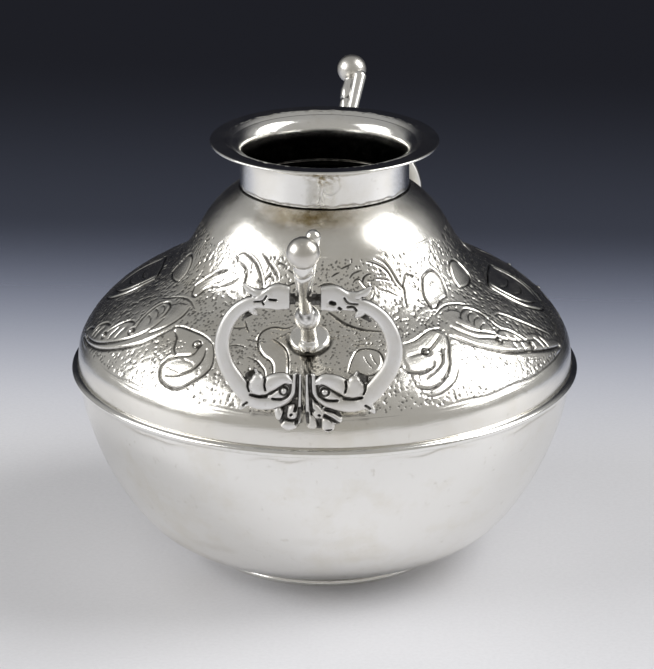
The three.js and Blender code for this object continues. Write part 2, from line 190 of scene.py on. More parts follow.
RIGHT_LINES = [
    # volute beside the handle
    (0.9, 0.26, [(28, 29.5), (32, 30.2), (36, 31.8), (39, 32.6), (42, 32.2)]),
    (0.9, 0.26, [(28, 25.4), (32, 26), (35, 27), (38, 28.8), (39.8, 29.9)]),
    (0.9, 0.26, [(24.5, 21.5), (27, 20.2), (30, 20), (33, 21), (33.8, 22.6)]),
    (1.0, 0.3, [(27, 16), (30, 15), (33, 16), (36, 18.3), (38, 21), (39.5, 24), (41.5, 27), (42.5, 29.5)]),
    (0.8, 0.24, [(30, 18.2), (34, 20.3), (36.5, 22.5), (38, 26)]),
    (0.7, 0.22, [(28.4, 13.4), (31.5, 13), (34.8, 14.2), (37.8, 16.4), (40, 19.4)]),
    # long leaf
    (1.1, 0.32, [(43.5, 28.8), (46, 26.5), (48.5, 24), (51, 22.3), (54, 20.5), (57, 18.8), (60, 17.5),
        (64.5, 16.2), (70, 14.2), (76, 12.4), (80, 11.2)]),
    (0.8, 0.24, [(46, 31.5), (48.5, 28.5), (51.5, 25.8), (55, 24.3), (58, 22.8), (61, 21.3), (64, 19.7),
        (70.5, 17.6)]),
    (0.7, 0.2, [(49, 32), (50.5, 29.7), (53, 27.5), (56, 26), (58, 24.6)]),
    (0.9, 0.26, [(52, 33.2), (54.5, 34.8), (57, 35.2), (59, 34), (60.3, 32), (60.8, 29), (61.2, 26.5),
        (62, 25)]),
    (0.9, 0.26, [(65, 29), (67, 28.8), (69, 27), (71, 24.5), (74, 21), (76.5, 18), (78.5, 15.7)]),
    # petal of the second row
    (0.9, 0.26, PETAL),
    (0.8, 0.22, [(45, 39.4), (47.2, 39.2), (49.5, 40.1), (51.5, 40.8), (54.8, 41)]),
    # leaves under the neck
    (0.9, 0.26, [(24, 55.8), (27, 55.2), (30, 54), (32, 52.8), (33.5, 51), (34, 49.5)]),
    (0.8, 0.26, [(28.5, 56.3), (32, 55), (34, 53), (35.5, 50.7), (37, 48.3), (38.3, 47), (37.5, 45),
        (36.5, 42)]),
    (0.9, 0.26, [(22, 48.7), (20.8, 49.8), (21.2, 51.3), (23, 52.2), (25, 52.4)]),
    (0.8, 0.24, [(15.3, 51.6), (17, 52.8), (19, 53.3), (21, 53.5)]),
    (0.6, 0.18, [(26, 51), (30, 50.4), (34, 49.5)]),
    (0.6, 0.18, [(27, 47.8), (31, 46.8), (34.8, 45)]),
    (0.8, 0.24, [(38, 47.5), (40, 49.5), (41.5, 50.3), (43, 50.1), (45, 49.5)]),
    # petal and band beside the boss
    (0.8, 0.26, LOW_PETAL),
    (0.5, 0.16, [(15.4, 26.2), (16, 24.4), (17, 22.6)]),
    (0.5, 0.16, [(17.4, 26.8), (17.8, 25), (18.4, 23.6)]),
    (1.5, 0.22, [(6, 42), (8, 40.6), (11, 38.4), (15, 36.6), (18, 35.9)]),
    (0.9, 0.28, [(15.5, 36.1), (19, 35.6), (23.5, 34.8)]),
    (0.6, 0.18, [(24.8, 47.2), (23.4, 45.6), (21.2, 44.8), (18.4, 45)]),
]
LINES = {"both": BOTH_LINES, "left": LEFT_LINES, "right": RIGHT_LINES}
LEAF_AREA = [(81.3, 11), (80.5, 12.6), (78.6, 14), (75.2, 15), (74.5, 16.6), (73, 18.2), (71, 19.4),
    (69, 19.8), (67.3, 18.4), (66.4, 19.8), (65, 22), (63, 24.1), (61, 24.9), (59.2, 24.8), (59, 28),
    (59.2, 31), (58.7, 33.6), (56.8, 34.9), (54.5, 34.3), (52, 36.4), (48.5, 37), (46.4, 36.4), (45.6, 33)]
SMOOTH_AREAS = {
    "both": [BUD, LEAF_UNDER + LEAF_AREA, PALMETTE + [(91, 38.8), (87, 38.6), (84, 38.2), (81, 37.6)]],
    "left": [
        VOLUTE_EDGE[:12] + [(39.8, 19), (39.4, 22), (40, 24.2), (41, 26.2), (43, 27.6), (44.5, 29.2),
            (42, 29.9), (38, 29.9), (34, 29.5), (31, 28.6)],
        NECK_LEAF + [(28, 45.8), (29.2, 47.2), (29.8, 48.8), (30, 50.5), (31, 51.8), (33, 52.7),
            (35.8, 53.2)],
        [(41, 50.5), (44, 49.7), (46.5, 48.7), (48.5, 47.5), (50.5, 46.2), (52.5, 44.3), (53.5, 43),
            (51.6, 40.6), (49, 40.3), (48, 41.5), (47, 43.5), (44.5, 45), (41, 45.5), (36, 47.6), (35, 50)],
        BIG_LEAF + BIG_LEAF_VEIN[::-1],
    ],
    "right": [
        PETAL + [(51.5, 40.8), (49.5, 40.1)],
        [(27, 16), (30, 15), (33, 16), (36, 18.3), (38, 21), (39.5, 24), (41.5, 27), (42.5, 29.5),
            (39, 32.6), (36, 31.8), (32, 30.2), (28, 29.5), (26, 25)],
        [(24, 55.8), (27, 55.2), (30, 54), (32, 52.8), (33.5, 51), (34, 49.5), (37, 48.3), (35.5, 50.7),
            (34, 53), (32, 55), (28.5, 56.3)],
        LOW_PETAL,
    ],
}
BEADS = [(33.1, 26.0, 1.15), (57.8, 22.4, 1.0), (67.6, 16.7, 0.9)]
PUNCHED_ROWS = [  # first and last dot, how many, size
    ((34.4, 20.9), (30.6, 20.1), 8, 0.5), ((37.4, 17.6), (33.2, 16.8), 8, 0.55),
    ((29.4, 13.2), (27, 15), 6, 0.5), ((28.3, 19.4), (27.8, 16.8), 4, 0.5),
    ((36.8, 25.2), (38.8, 25.4), 3, 0.7), ((36.7, 24), (37.6, 23.6), 2, 0.7),
    ((42, 50), (46.4, 48.3), 5, 0.75), ((41.3, 47.7), (45.2, 45.2), 5, 0.75),
    ((41.6, 42.6), (45, 39.6), 5, 0.75), ((31.5, 43), (35.2, 44), 5, 0.75),
    ((28.6, 53.6), (28.2, 51.6), 3, 0.8), ((20.2, 50.6), (19.2, 51.8), 2, 0.8),
    ((29.5, 37.8), (33.5, 37.2), 5, 0.8), ((36.8, 38), (39.2, 33.8), 5, 0.9),
    ((13, 30.8), (18.6, 30.9), 8, 0.8), ((14, 31.8), (18, 32.4), 5, 0.8),
    ((7.4, 33.6), (11.6, 34.2), 4, 0.7), ((20, 47.6), (24, 49.6), 5, 0.9),
]
GROUND_DOTS = 15000  # tries at a punched dot in the ground
SPOT_STEP, SPOT_SHARE, SPOT_UP = 1.9 / 65, 0.8, 1.6  # loose row of dots above the lower border

# ---- cast handle scrolls -----------------------------------------
# Strokes of one scroll: half thickness, middle, squareness, and points of (sideways from the centre line,
# up from the pivot, half width). Both hands share them, but for the extras of each hand.
SCROLL_STROKES = [
    (1.6, 0, 4.0, [(5.2, 0.45, 3.2), (7.2, 0.5, 3.5), (9.4, 0.0, 2.9), (11.4, -0.6, 2.0)]),  # terminal
    (1.5, 0, 2.8, [(10.8, -0.9, 1.8), (13.6, -1.1, 1.8), (16.4, -2.2, 1.8), (19.0, -4.3, 1.85),
        (21.0, -7.4, 1.9), (22.15, -11, 1.95), (22.2, -14.6, 2.0), (21.1, -18.3, 2.1), (19.0, -21.8, 2.3),
        (16.6, -24.9, 2.4), (14.8, -26.7, 2.2)]),  # arm
    (1.25, 0, 2.4, [(7.5, 1.7, 1.6), (10.5, 1.1, 1.5), (13, 1.2, 1.2), (14.9, 2.2, 0.95),
        (16.2, 3.5, 0.5)]),
    (1.15, 0, 2.2, [(14.0, -3.0, 1.2), (13.3, -3.9, 0.8), (12.7, -4.5, 0.35)]),  # inner spur
    (0.1, 0, 2.2, [(13.4, -3.5, 0.7), (15.0, -4.4, 0.7), (16.3, -5.4, 0.4)]),  # hollow beside the spur
    (1.35, 0, 2.6, [(15.2, -26.8, 2.1), (13.0, -27.9, 2.0), (10.4, -28.2, 1.9), (7.6, -28.1, 1.5),
        (5.0, -27.1, 1.15), (3.2, -25.2, 0.95), (2.4, -22.8, 0.8), (2.2, -20.6, 0.75)]),  # band
    (1.35, 0, 2.2, [(1.0, -20.6, 0.5), (1.0, -24, 0.55), (1.05, -28, 0.6), (1.2, -31, 0.7),
        (1.3, -33.0, 0.6)]),
    (1.0, 0, 2.2, [(15.4, -27.6, 1.5), (16.6, -28.9, 1.0), (17.4, -29.9, 0.5)]),  # lower spur
    (1.5, 0, 2.4, [(3.8, -22.1, 1.0), (5.2, -21.5, 1.5), (7.4, -22.1, 2.0), (9.4, -23.1, 2.1),
        (10.8, -24.6, 1.5)]),
    (1.2, 0, 2.2, [(5.3, -24.7, 1.6), (7.4, -26, 1.3), (9.5, -26.5, 0.6)]),  # bird-like eye
    (1.6, 0, 2.4, [(12.6, -21.9, 1.7), (12.8, -23.2, 2.4), (12.4, -24.4, 2.1)]),  # leaf lump
    (0.1, 0, 2.6, [(12.0, -20.4, 0.6), (13.4, -20.0, 0.7), (15.0, -21.0, 1.1)]),  # hollow above the leaf
    (0.9, 0, 2.2, [(12.6, -20.6, 0.45), (13.2, -19.3, 0.4)]),  # its small peak
    (0.75, -0.75, 4.0, [(3.5, -24, 3.2), (8, -25, 3.3), (12.5, -24.6, 3.2)]),  # web behind the leaves
    (0.75, -0.75, 4.0, [(2.2, -29.5, 2.1), (4, -31.8, 3.2)]),
]
LEFT_STROKES = [  # lobes of the left spray
    (1.55, 0, 2.4, [(6.9, -30.3, 1.1), (6.4, -31.4, 1.4)]),
    (1.6, 0, 2.4, [(2.8, -29.7, 1.5), (3.1, -31.0, 1.6)]),
    (1.6, 0, 2.4, [(4.9, -33.7, 1.4), (4.0, -34.0, 1.6), (3.0, -33.8, 1.4)]),
]
RIGHT_STROKES = [
    (1.55, 0, 2.4, [(1.3, -26.0, 0.6), (2.0, -28.0, 1.0), (3.0, -29.3, 1.4), (3.8, -30.7, 1.6)]),
    (1.5, 0, 2.4, [(5.6, -29.6, 1.0), (7.4, -31.0, 1.6), (8.2, -32.0, 1.5)]),
    (1.6, 0, 2.4, [(5.7, -32.6, 1.3), (6.1, -34.0, 1.7)]),
    (1.5, 0, 2.4, [(2.0, -32.2, 1.1), (2.2, -33.6, 1.4)]),
]
# Cuts into the front: half width, depth and points.
SCROLL_CUTS = [
    (0.26, 1.4, [(0.0, -19.5), (0.0, -26), (0.1, -34.5)]),
    (0.32, 1.2, [(1.6, -20.6), (1.7, -25), (1.9, -28.5), (2.2, -30)]),
    (0.26, 0.8, [(3.6, -23.2), (3.6, -24.6), (4.2, -26.0), (6.0, -27.0), (8.4, -26.9)]),
    (0.32, 0.9, [(10.2, -26.3), (12.2, -26.4), (14.4, -25.9)]),
    (0.24, 0.7, [(10.3, -24.6), (10.6, -23.2), (10.4, -21.8)]),
    (0.2, 0.6, [(15.2, -22.0), (15.3, -23.6), (14.8, -25.0)]),
    (0.18, 0.5, [(5.4, -23.2), (7.2, -24.4), (9.0, -25.7)]),
    (0.28, 0.7, [(15.4, -28.0), (16.4, -28.9)]),
    (0.25, 0.5, [(10.0, 0.9), (11.0, -0.4), (13.2, -0.7)]),
    (0.3, 0.5, [(14.3, 0.9), (15.3, 0.7)]),
]
LEFT_CUTS = [
    (0.22, 0.9, [(7.3, -0.1), (9.2, 0.0)]),
    (0.2, 0.6, [(11.2, -0.6), (10.7, -1.4)]),
    (0.34, 1.5, [(4.9, -30.2), (5.4, -31.8), (6.1, -33.4)]),
    (0.26, 1.1, [(5.1, -32.2), (3.4, -32.6), (1.7, -32.4)]),
    (0.28, 0.9, [(3.1, -30.9), (3.3, -31.1)]),
    (0.3, 1.2, [(1.0, -29.4), (1.2, -31.6), (1.9, -33.4)]),
]
RIGHT_CUTS = [
    (0.5, 0.9, [(6.8, -0.5), (7.4, -0.7)]),
    (0.3, 0.8, [(8.7, -1.8), (9.1, -2.1)]),
    (0.26, 0.6, [(10.8, -1.5), (12.2, -1.4), (12.9, -2.4)]),
    (0.34, 1.4, [(5.5, -29.4), (7.4, -29.9), (9.2, -30.9)]),
    (0.34, 1.4, [(5.5, -31.2), (7.0, -31.9), (8.6, -33.1)]),
    (0.32, 1.4, [(3.9, -32.3), (4.0, -34.0), (4.3, -35.4)]),
    (0.26, 0.9, [(3.9, -30.9), (4.1, -31.1)]),
    (0.22, 0.7, [(2.5, -29.5), (2.7, -29.7)]),
    (0.2, 0.7, [(5.7, -35.0), (6.9, -34.9)]),
    (0.3, 1.0, [(1.0, -30.6), (1.1, -33.0)]),
]
SCROLL_SPREAD = {"left": 0.945, "right": 1.055}
SCROLL_STEP = 0.16
SCROLL_BOX = [(-0.3, -37, -2.1), (26.6, 5, 2.1)]
SCROLL_HALF_THICK = 1.66
SCROLL_GAP = 0.17  # half of the gap between the two scrolls
EYE_AT = (5.3, -24.7)
TERMINAL_FACE = {"left": 3.5, "right": 4.5}  # end of the terminal beside the stem
PIN_HOLE_R, PIN_HOLE_END = 0.86, 7.8
TRUNNION_R, TRUNNION_IN, TRUNNION_OUT = 1.45, 2.1, 5.2
HANDLE_TILT = math.radians(3.0)

# ---- lug pieces --------------------------------------------------
DISC_AT, DISC_SLOPE, DISC_THICK = (49.7, 78.5), math.radians(27.7), 1.5
STEM_FOOT, STEM_LEAN = (52.0, 78.5), math.radians(47.6)
PIVOT_ALONG = 23.8
BALL_R, BALL_ALONG = 4.24, 48.3
LUG_LEAN = 1.3  # how far the hand-bent stem carries the ball sideways
STEM_STEP = 0.15
STEM_BOX = [(-4, -4, -4.0), (6.3, 7.2, 52.5)]
STEM_TOP = 46
PRONG_FOOT = (1.0, 0.9, 27)
DISC_TOP = [(0.02, DISC_THICK), (2.5, DISC_THICK - 0.02), (4.2, 1.4), (5.0, 1.15), (5.3, 0.65), (5.35, 0)]
PRONG_TIP = {"front": (3.6, 4.2, 49.1), "back": (3.9, 2.6, 44.6)}  # sideways, above and along its stem
STEM_PROFILE = [(-3, 2.1), (0, 2.15), (4, 2.15), (8, 2.1), (10.4, 2.1), (11.3, 2.6), (12.4, 3.15),
    (14, 3.4), (15.7, 3.05), (17, 2.3), (18, 1.65), (20, 1.55), (24, 1.55), (28, 1.7), (33, 2.1),
    (37, 2.35), (38, 2.0), (39, 2.4), (41, 2.5), (43.4, 2.0), (46, 1.6)]

rng = np.random.default_rng(7)


# ---- mesh helpers ------------------------------------------------
def mesh_object(name, points, faces):
    """A mesh object from millimetre points and an array of equal-sided faces."""
    faces = np.asarray(faces, np.int32)
    mesh = bpy.data.meshes.new(name)
    mesh.vertices.add(len(points))
    mesh.vertices.foreach_set("co", (np.asarray(points) * MM).astype(np.float32).ravel())
    mesh.loops.add(faces.size)
    mesh.loops.foreach_set("vertex_index", faces.ravel())
    mesh.polygons.add(len(faces))
    mesh.polygons.foreach_set("loop_start", np.arange(len(faces), dtype=np.int32) * faces.shape[1])
    mesh.update(calc_edges=True)
    mesh.validate()
    mesh.polygons.foreach_set("use_smooth", np.ones(len(mesh.polygons), bool))
    made = bpy.data.objects.new(name, mesh)
    bpy.context.scene.collection.objects.link(made)
    return made


def spline(points, count):
    """Evenly spaced points on a uniform Catmull-Rom curve."""
    p = np.array(points, float)
    t = np.linspace(0, len(p) - 1, 60 * len(p))
    i = np.minimum(t.astype(int), len(p) - 2)
    w = (t - i)[:, None]
    before, after = p[np.maximum(i - 1, 0)], p[np.minimum(i + 2, len(p) - 1)]
    a, b = p[i], p[i + 1]
    v0, v1 = (b - before) / 2, (after - a) / 2
    curve = (2 * a - 2 * b + v0 + v1) * w**3 + (-3 * a + 3 * b - 2 * v0 - v1) * w**2 + v0 * w + a
    length = np.concatenate([[0], np.cumsum(np.linalg.norm(np.diff(curve, axis=0), axis=1))])
    even = np.linspace(0, length[-1], count)
    return np.stack([np.interp(even, length, curve[:, k]) for k in range(p.shape[1])], 1)


def normals_of(outline):
    """Unit normals on the right-hand side of an outline's direction."""
    along = np.gradient(outline, axis=0)
    along /= np.linalg.norm(along, axis=1)[:, None]
    return np.stack([along[:, 1], -along[:, 0]], 1)


def grid_faces(rows, columns, closed_rows):
    """Quads of a grid that wraps round its columns, and round its rows if closed_rows."""
    last = rows if closed_rows else rows - 1
    r, c = np.meshgrid(np.arange(last), np.arange(columns), indexing="ij")
    down, right = (r + 1) % rows, (c + 1) % columns
    quads = [r * columns + c, r * columns + right, down * columns + right, down * columns + c]
    return np.stack(quads, -1).reshape(-1, 4)


def turned(name, loop, columns, lift=None):
    """A closed loop of (radius, height above the girdle) turned about Z. lift, in rows and columns, moves
    its points along the loop's own normals."""
    angle = around(columns)
    points = np.repeat(loop[:, None, :], columns, axis=1)
    if lift is not None:
        normal = np.roll(loop, -1, axis=0) - np.roll(loop, 1, axis=0)
        normal /= np.linalg.norm(normal, axis=1)[:, None]
        normal = np.stack([normal[:, 1], -normal[:, 0]], 1)
        points = points + normal[:, None, :] * lift[:, :, None]
    radius, height = points[..., 0], points[..., 1]
    x, y = radius * np.sin(angle), -radius * np.cos(angle)
    xyz = np.stack([x, y, height + GIRDLE_Z], -1).reshape(-1, 3)
    return mesh_object(name, xyz, grid_faces(len(loop), columns, True))


def bell(gap, width):
    """1 where a gap is nothing, and soon nothing where it is wider than width."""
    return np.exp(-((gap / width) ** 2))


def around(count):
    """Evenly spaced angles round a circle."""
    return np.linspace(0, 2 * np.pi, count, endpoint=False)


def wobble(angle, height, waves, longest, seed):
    """Smooth hand-made unevenness between about -1 and 1, seamless round the angle."""
    r = np.random.default_rng(seed)
    total = np.zeros(np.broadcast(angle, height).shape)
    for _ in range(waves):
        turns = r.integers(1, longest)
        total += np.sin(turns * angle + height * r.normal() * turns / 40 + r.uniform(0, 2 * np.pi))
    return total / math.sqrt(waves)


def shell_loop(outside, inside_count):
    """The closed loop of a sheet from its outside outline: up the outside, down the inside."""
    inside = outside - SHEET * normals_of(outside)
    keep = np.linspace(0, len(outside) - 1, inside_count).astype(int)
    return np.concatenate([outside, inside[keep][::-1]])


def store(piece, name, values):
    """Keeps one number for each point of a piece, for its material to read."""
    layer = piece.data.attributes.new(name, "FLOAT", "POINT")
    layer.data.foreach_set("value", np.asarray(values, np.float32).ravel())


# ---- chasing -----------------------------------------------------
def smooth_line(points, step=0.5):
    """A spline through points, with about one point for each step."""
    return spline(points, max(4, int(sum(math.dist(a, b) for a, b in zip(points, points[1:])) / step)))


def inside_polygon(x, y, polygon):
    """Which of many places lie inside a polygon."""
    inside = np.zeros(x.shape, bool)
    for (x0, y0), (x1, y1) in zip(polygon, polygon[1:] + polygon[:1]):
        if y0 != y1:
            inside ^= ((y0 > y) != (y1 > y)) & (x < (x1 - x0) * (y - y0) / (y1 - y0) + x0)
    return inside


def distance_to_line(x, y, line, scale=1.0):
    """Distance to a line, with sideways steps multiplied by scale, and how far along the line it lies."""
    best, share = np.full(x.shape, 1e9), np.zeros(x.shape)
    count = len(line) - 1
    for i in range(count):
        ax, ay = (line[i, 0] - x) * scale, line[i, 1] - y
        bx, by = (line[i + 1, 0] - x) * scale, line[i + 1, 1] - y
        dx, dy = bx - ax, by - ay
        t = np.clip(-(ax * dx + ay * dy) / (dx * dx + dy * dy + 1e-12), 0, 1)
        d = np.hypot(ax + t * dx, ay + t * dy)
        near = d < best
        best[near], share[near] = d[near], ((i + t) / count)[near]
    return best, share


def dent(height, dark, angle, along, radius, spots):
    """Presses round dots into the sheet: each spot is (angle, millimetres up, diameter, depth)."""
    columns, step = height.shape[1], along[1] - along[0]
    for turn, up, size, depth in spots:
        row = int((up - along[0]) / step)
        high = int(size / step) + 1
        rows = slice(max(row - high, 0), min(row + high + 2, len(along)))
        local = radius[min(max(row, 0), len(along) - 1)]
        column = int(turn / (2 * np.pi) * columns)
        wide = int(size / (local * 2 * np.pi / columns)) + 1
        near = np.arange(column - wide, column + wide + 2)
        gap = (near * 2 * np.pi / columns - turn) * local
        bowl_shape = np.exp(-((gap[None, :] ** 2 + (along[rows, None] - up) ** 2) / (0.42 * size) ** 2))
        index = np.ix_(np.arange(len(along))[rows], near % columns)
        height[index] -= depth * bowl_shape
        dark[index] = np.maximum(dark[index], 0.8 * bowl_shape)


def pattern_places(turn, up):
    """Where each place of the shoulder lies in the pattern, for each hand, with a little unevenness."""
    centred = (np.degrees(turn) + 90) % 180 - 90 + 0.35 * wobble(turn, up, 24, 9, 11)
    across = {"both": np.abs(centred), "left": -centred, "right": centred}
    return across, up + 0.3 * wobble(turn, up, 24, 9, 12)


def chase_lines(height, dark, across, lifted, wide):
    """Presses the lines and raises the areas they bound. Gives those areas and the nearness of a line."""
    plain = np.zeros(height.shape, bool)
    edge = np.full(height.shape, 9.0)
    for hand, sideways in across.items():
        for area in SMOOTH_AREAS[hand]:
            plain |= inside_polygon(sideways, lifted, area)
        for width, depth, points in LINES[hand]:
            line = smooth_line(points)
            low, high = line.min(0) - (3.5, 3), line.max(0) + (3.5, 3)
            near = (sideways > low[0]) & (sideways < high[0]) & (lifted > low[1]) & (lifted < high[1])
            d, share = distance_to_line(sideways[near], lifted[near], line, wide[near] * np.pi / 180)
            edge[near] = np.minimum(edge[near], d)
            swell = 0.45 + 0.55 * np.sqrt(np.sin(np.pi * np.clip(share, 0.02, 0.98)))
            groove = bell(d, 0.36 * width * swell)
            burr = bell(d - 0.85 * width, 0.4 * width)
            height[near] += depth * swell * (0.25 * burr - groove)
            dark[near] = np.maximum(dark[near], groove * (0.7 + 0.3 * swell))
    height += 0.22 * plain * (1 - np.exp(-edge / 1.2))
    return plain, edge


def chase_beads(height, dark, folded, lifted, wide):
    """Raises the round beads, each with a ditch about it."""
    for at, up_at, size in BEADS:
        d = np.hypot((folded - at) * wide * np.pi / 180, lifted - up_at)
        ditch = bell(d - size, 0.35)
        height += 0.55 * np.sqrt(np.clip(1 - (d / size) ** 2, 0, 1)) - 0.22 * ditch
        np.maximum(dark, ditch, out=dark)


def chase_borders(height, dark, turn, up):
    """Presses the worn rings above and below the pattern."""
    for level, width, depth, black in BORDERS:
        waver = level + 0.2 * wobble(turn, 0 * up, 20, 30, int(level))
        worn = np.clip(0.5 + 0.6 * wobble(turn, 0 * up, 16, 14, int(level) + 1), 0.05, 1)
        groove = bell(up - waver, 0.5 * width) * worn
        height -= depth * groove
        np.maximum(dark, black * groove, out=dark)


def row_spots():
    """The dots punched in rows, and the loose row above the lower border."""
    spots = []
    for (a0, m0), (a1, m1), count, size in PUNCHED_ROWS:
        for i in range(count):
            a = a0 + (a1 - a0) * i / (count - 1)
            m = m0 + (m1 - m0) * i / (count - 1)
            for quarter in (a, 180 - a, 180 + a, 360 - a):
                at = math.radians(quarter) + rng.normal(0, 0.003)
                spots.append((at, m + rng.normal(0, 0.12), size, 0.2))
    for start in np.arange(0, 2 * np.pi, SPOT_STEP):
        if rng.random() < SPOT_SHARE:
            at = start + rng.normal(0, 0.006)
            spots.append((at, PATTERN_LOW + SPOT_UP + rng.normal(0, 0.25), 0.8, 0.16))
    return spots


def ground_spots(along, radius, plain, edge):
    """Dots punched at random into the ground, clear of the lines and of the smooth areas."""
    spots = []
    step = along[1] - along[0]
    columns = plain.shape[1]
    for _ in range(GROUND_DOTS):
        m = rng.uniform(PATTERN_LOW + 0.4, PATTERN_HIGH - 0.4)
        row = int((m - along[0]) / step)
        if rng.random() > radius[row] / 68:
            continue
        a = rng.uniform(0, 2 * np.pi)
        column = int(a / (2 * np.pi) * columns) % columns
        if not plain[row, column] and edge[row, column] > 0.5:
            spots.append((a, m, rng.uniform(0.45, 0.95), rng.uniform(0.05, 0.16)))
    return spots


def chasing(angle, along, radius):
    """Height and darkness of the chased shoulder on a grid of angles and distances up the sheet."""
    turn, up = np.meshgrid(angle, along)
    wide = radius[:, None] * np.ones_like(turn)
    across, lifted = pattern_places(turn, up)
    height, dark = np.zeros(turn.shape), np.zeros(turn.shape)
    plain, edge = chase_lines(height, dark, across, lifted, wide)
    chase_beads(height, dark, across["both"], lifted, wide)
    chase_borders(height, dark, turn, up)
    spots = row_spots() + ground_spots(along, radius, plain, edge)
    dent(height, dark, angle, along, radius, spots)
    return height, dark


# ---- materials ---------------------------------------------------
class Nodes:
    """Short ways to add and join the nodes of one material."""

    def __init__(self, name):
        self.material = bpy.data.materials.new(name)
        self.material.use_nodes = True
        self.tree = self.material.node_tree
        self.shader = self.tree.nodes["Principled BSDF"]
        self.place = self.add("ShaderNodeTexCoord").outputs["Object"]

    def add(self, kind, values=None, links=None, **settings):
        node = self.tree.nodes.new(kind)
        for key, value in settings.items():
            setattr(node, key, value)
        for key, value in (values or {}).items():
            node.inputs[key].default_value = value
        for key, output in (links or {}).items():
            self.tree.links.new(output, node.inputs[key])
        return node

    def noise(self, scale, detail=5, rough=0.6, vector=None):
        made = self.add("ShaderNodeTexNoise", {"Scale": scale, "Detail": detail, "Roughness": rough},
                        {"Vector": vector or self.place})
        return made.outputs["Fac"]

    def remap(self, value, low, high, to_low=0.0, to_high=1.0, kind="LINEAR"):
        ends = {"From Min": low, "From Max": high, "To Min": to_low, "To Max": to_high}
        made = self.add("ShaderNodeMapRange", ends, {"Value": value}, interpolation_type=kind)
        return made.outputs["Result"]

    def mix(self, share, first, second):
        made = self.add("ShaderNodeMix", data_type="RGBA")
        for key, value in ((0, share), (6, first), (7, second)):
            if isinstance(value, tuple):
                made.inputs[key].default_value = (*value, 1)
            else:
                self.tree.links.new(value, made.inputs[key])
        return made.outputs[2]

    def math(self, operation, first, second):
        made = self.add("ShaderNodeMath", operation=operation)
        for key, value in ((0, first), (1, second)):
            if isinstance(value, (int, float)):
                made.inputs[key].default_value = value
            else:
                self.tree.links.new(value, made.inputs[key])
        return made.outputs[0]

    def into(self, key, output):
        self.tree.links.new(output, self.shader.inputs[key])


def silver(name, colour, roughness, mottle=0.08, stain_tarnish_and_shade=False):
    """Old hand-polished silver: soft clouds of tarnish, fine wiping scratches, brown stains by the solder
    and black that stands for tarnish in recesses together with painted shade. A piece holds the last two as
    its own numbers."""
    n = Nodes(name)
    n.shader.inputs["Metallic"].default_value = 1.0
    film = n.remap(n.noise(45, 6, 0.65), 0.50, 0.80, 0.0, 0.5)
    shade = n.mix(film, colour, tuple(c * k for c, k in zip(colour, (0.74, 0.68, 0.54))))
    freckles = n.remap(n.noise(420, 4, 0.7), 0.62, 0.74, 0.0, 0.35)
    shade = n.mix(freckles, shade, (0.42, 0.38, 0.30))
    if stain_tarnish_and_shade:
        stain = n.add("ShaderNodeAttribute", attribute_name="stain").outputs["Fac"]
        blotch = n.remap(n.noise(150, 5, 0.7), 0.35, 0.6, 0.35, 1.0)
        shade = n.mix(n.math("MULTIPLY", stain, blotch), shade, (0.30, 0.23, 0.11))
        dark = n.add("ShaderNodeAttribute", attribute_name="tarnish_and_shade").outputs["Fac"]
        uneven = n.remap(n.noise(700, 3, 0.6), 0.3, 0.6, 0.75, 1.0)
        share = n.math("MULTIPLY", n.remap(dark, 0.2, 0.75, 0.0, 0.97), uneven)
        # Black from the piece's dark layer: tarnish in recesses, plus painted shade and painted dark
        # reflections.
        shade = n.mix(share, shade, (0.022, 0.019, 0.015))
    n.into("Base Color", shade)
    n.into("Roughness", n.remap(n.noise(160, 5, 0.6), 0.3, 0.7, roughness, roughness + mottle))
    along_wipe = {"Rotation": (0.5, 0.3, 0.9), "Scale": (1, 14, 6)}
    stretched = n.add("ShaderNodeMapping", along_wipe, {"Vector": n.place})
    hair = n.noise(900, 3, 0.5, stretched.outputs["Vector"])
    pits = n.noise(2600, 2, 0.5)
    grain = n.math("ADD", hair, n.math("MULTIPLY", pits, 0.4))
    bump = n.add("ShaderNodeBump", {"Strength": 0.08, "Distance": 0.0002}, {"Height": grain})
    n.into("Normal", bump.outputs["Normal"])
    return n.material


PLAIN = silver("plain_silver", (0.90, 0.89, 0.86), 0.11, stain_tarnish_and_shade=True)
CHASED = silver("chased_silver", (0.87, 0.85, 0.80), 0.17, stain_tarnish_and_shade=True)
STEM = silver("lug_silver", (0.86, 0.85, 0.82), 0.20, stain_tarnish_and_shade=True)
BALL = silver("ball_silver", (0.72, 0.70, 0.66), 0.27)
CAST = silver("cast_silver", (0.82, 0.81, 0.79), 0.32, mottle=0.25, stain_tarnish_and_shade=True)
# Painted shade: the pivot pins are near black, standing in for the shade in the gaps beside the stem.
PIN_IN_SHADE = silver("pin_silver", (0.10, 0.095, 0.085), 0.4)


# ---- vessel ------------------------------------------------------
def finish_piece(piece, node, body, material):
    """Gives a piece its material and its body, and hides the CAD node it replaces."""
    piece.data.materials.append(material)
    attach(piece, body)
    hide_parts(node)


def paint(node, material):
    """Gives a CAD node that is shown as it is its material."""
    slots = frame["nodes"][node].data.materials
    slots.clear()
    slots.append(material)


def hammered(angle, height, seed):
    """Faint broad planishing marks, in millimetres."""
    return 0.03 * wobble(angle, height, 30, 16, seed) + 0.008 * wobble(angle, 9 * height, 40, 60, seed + 1)


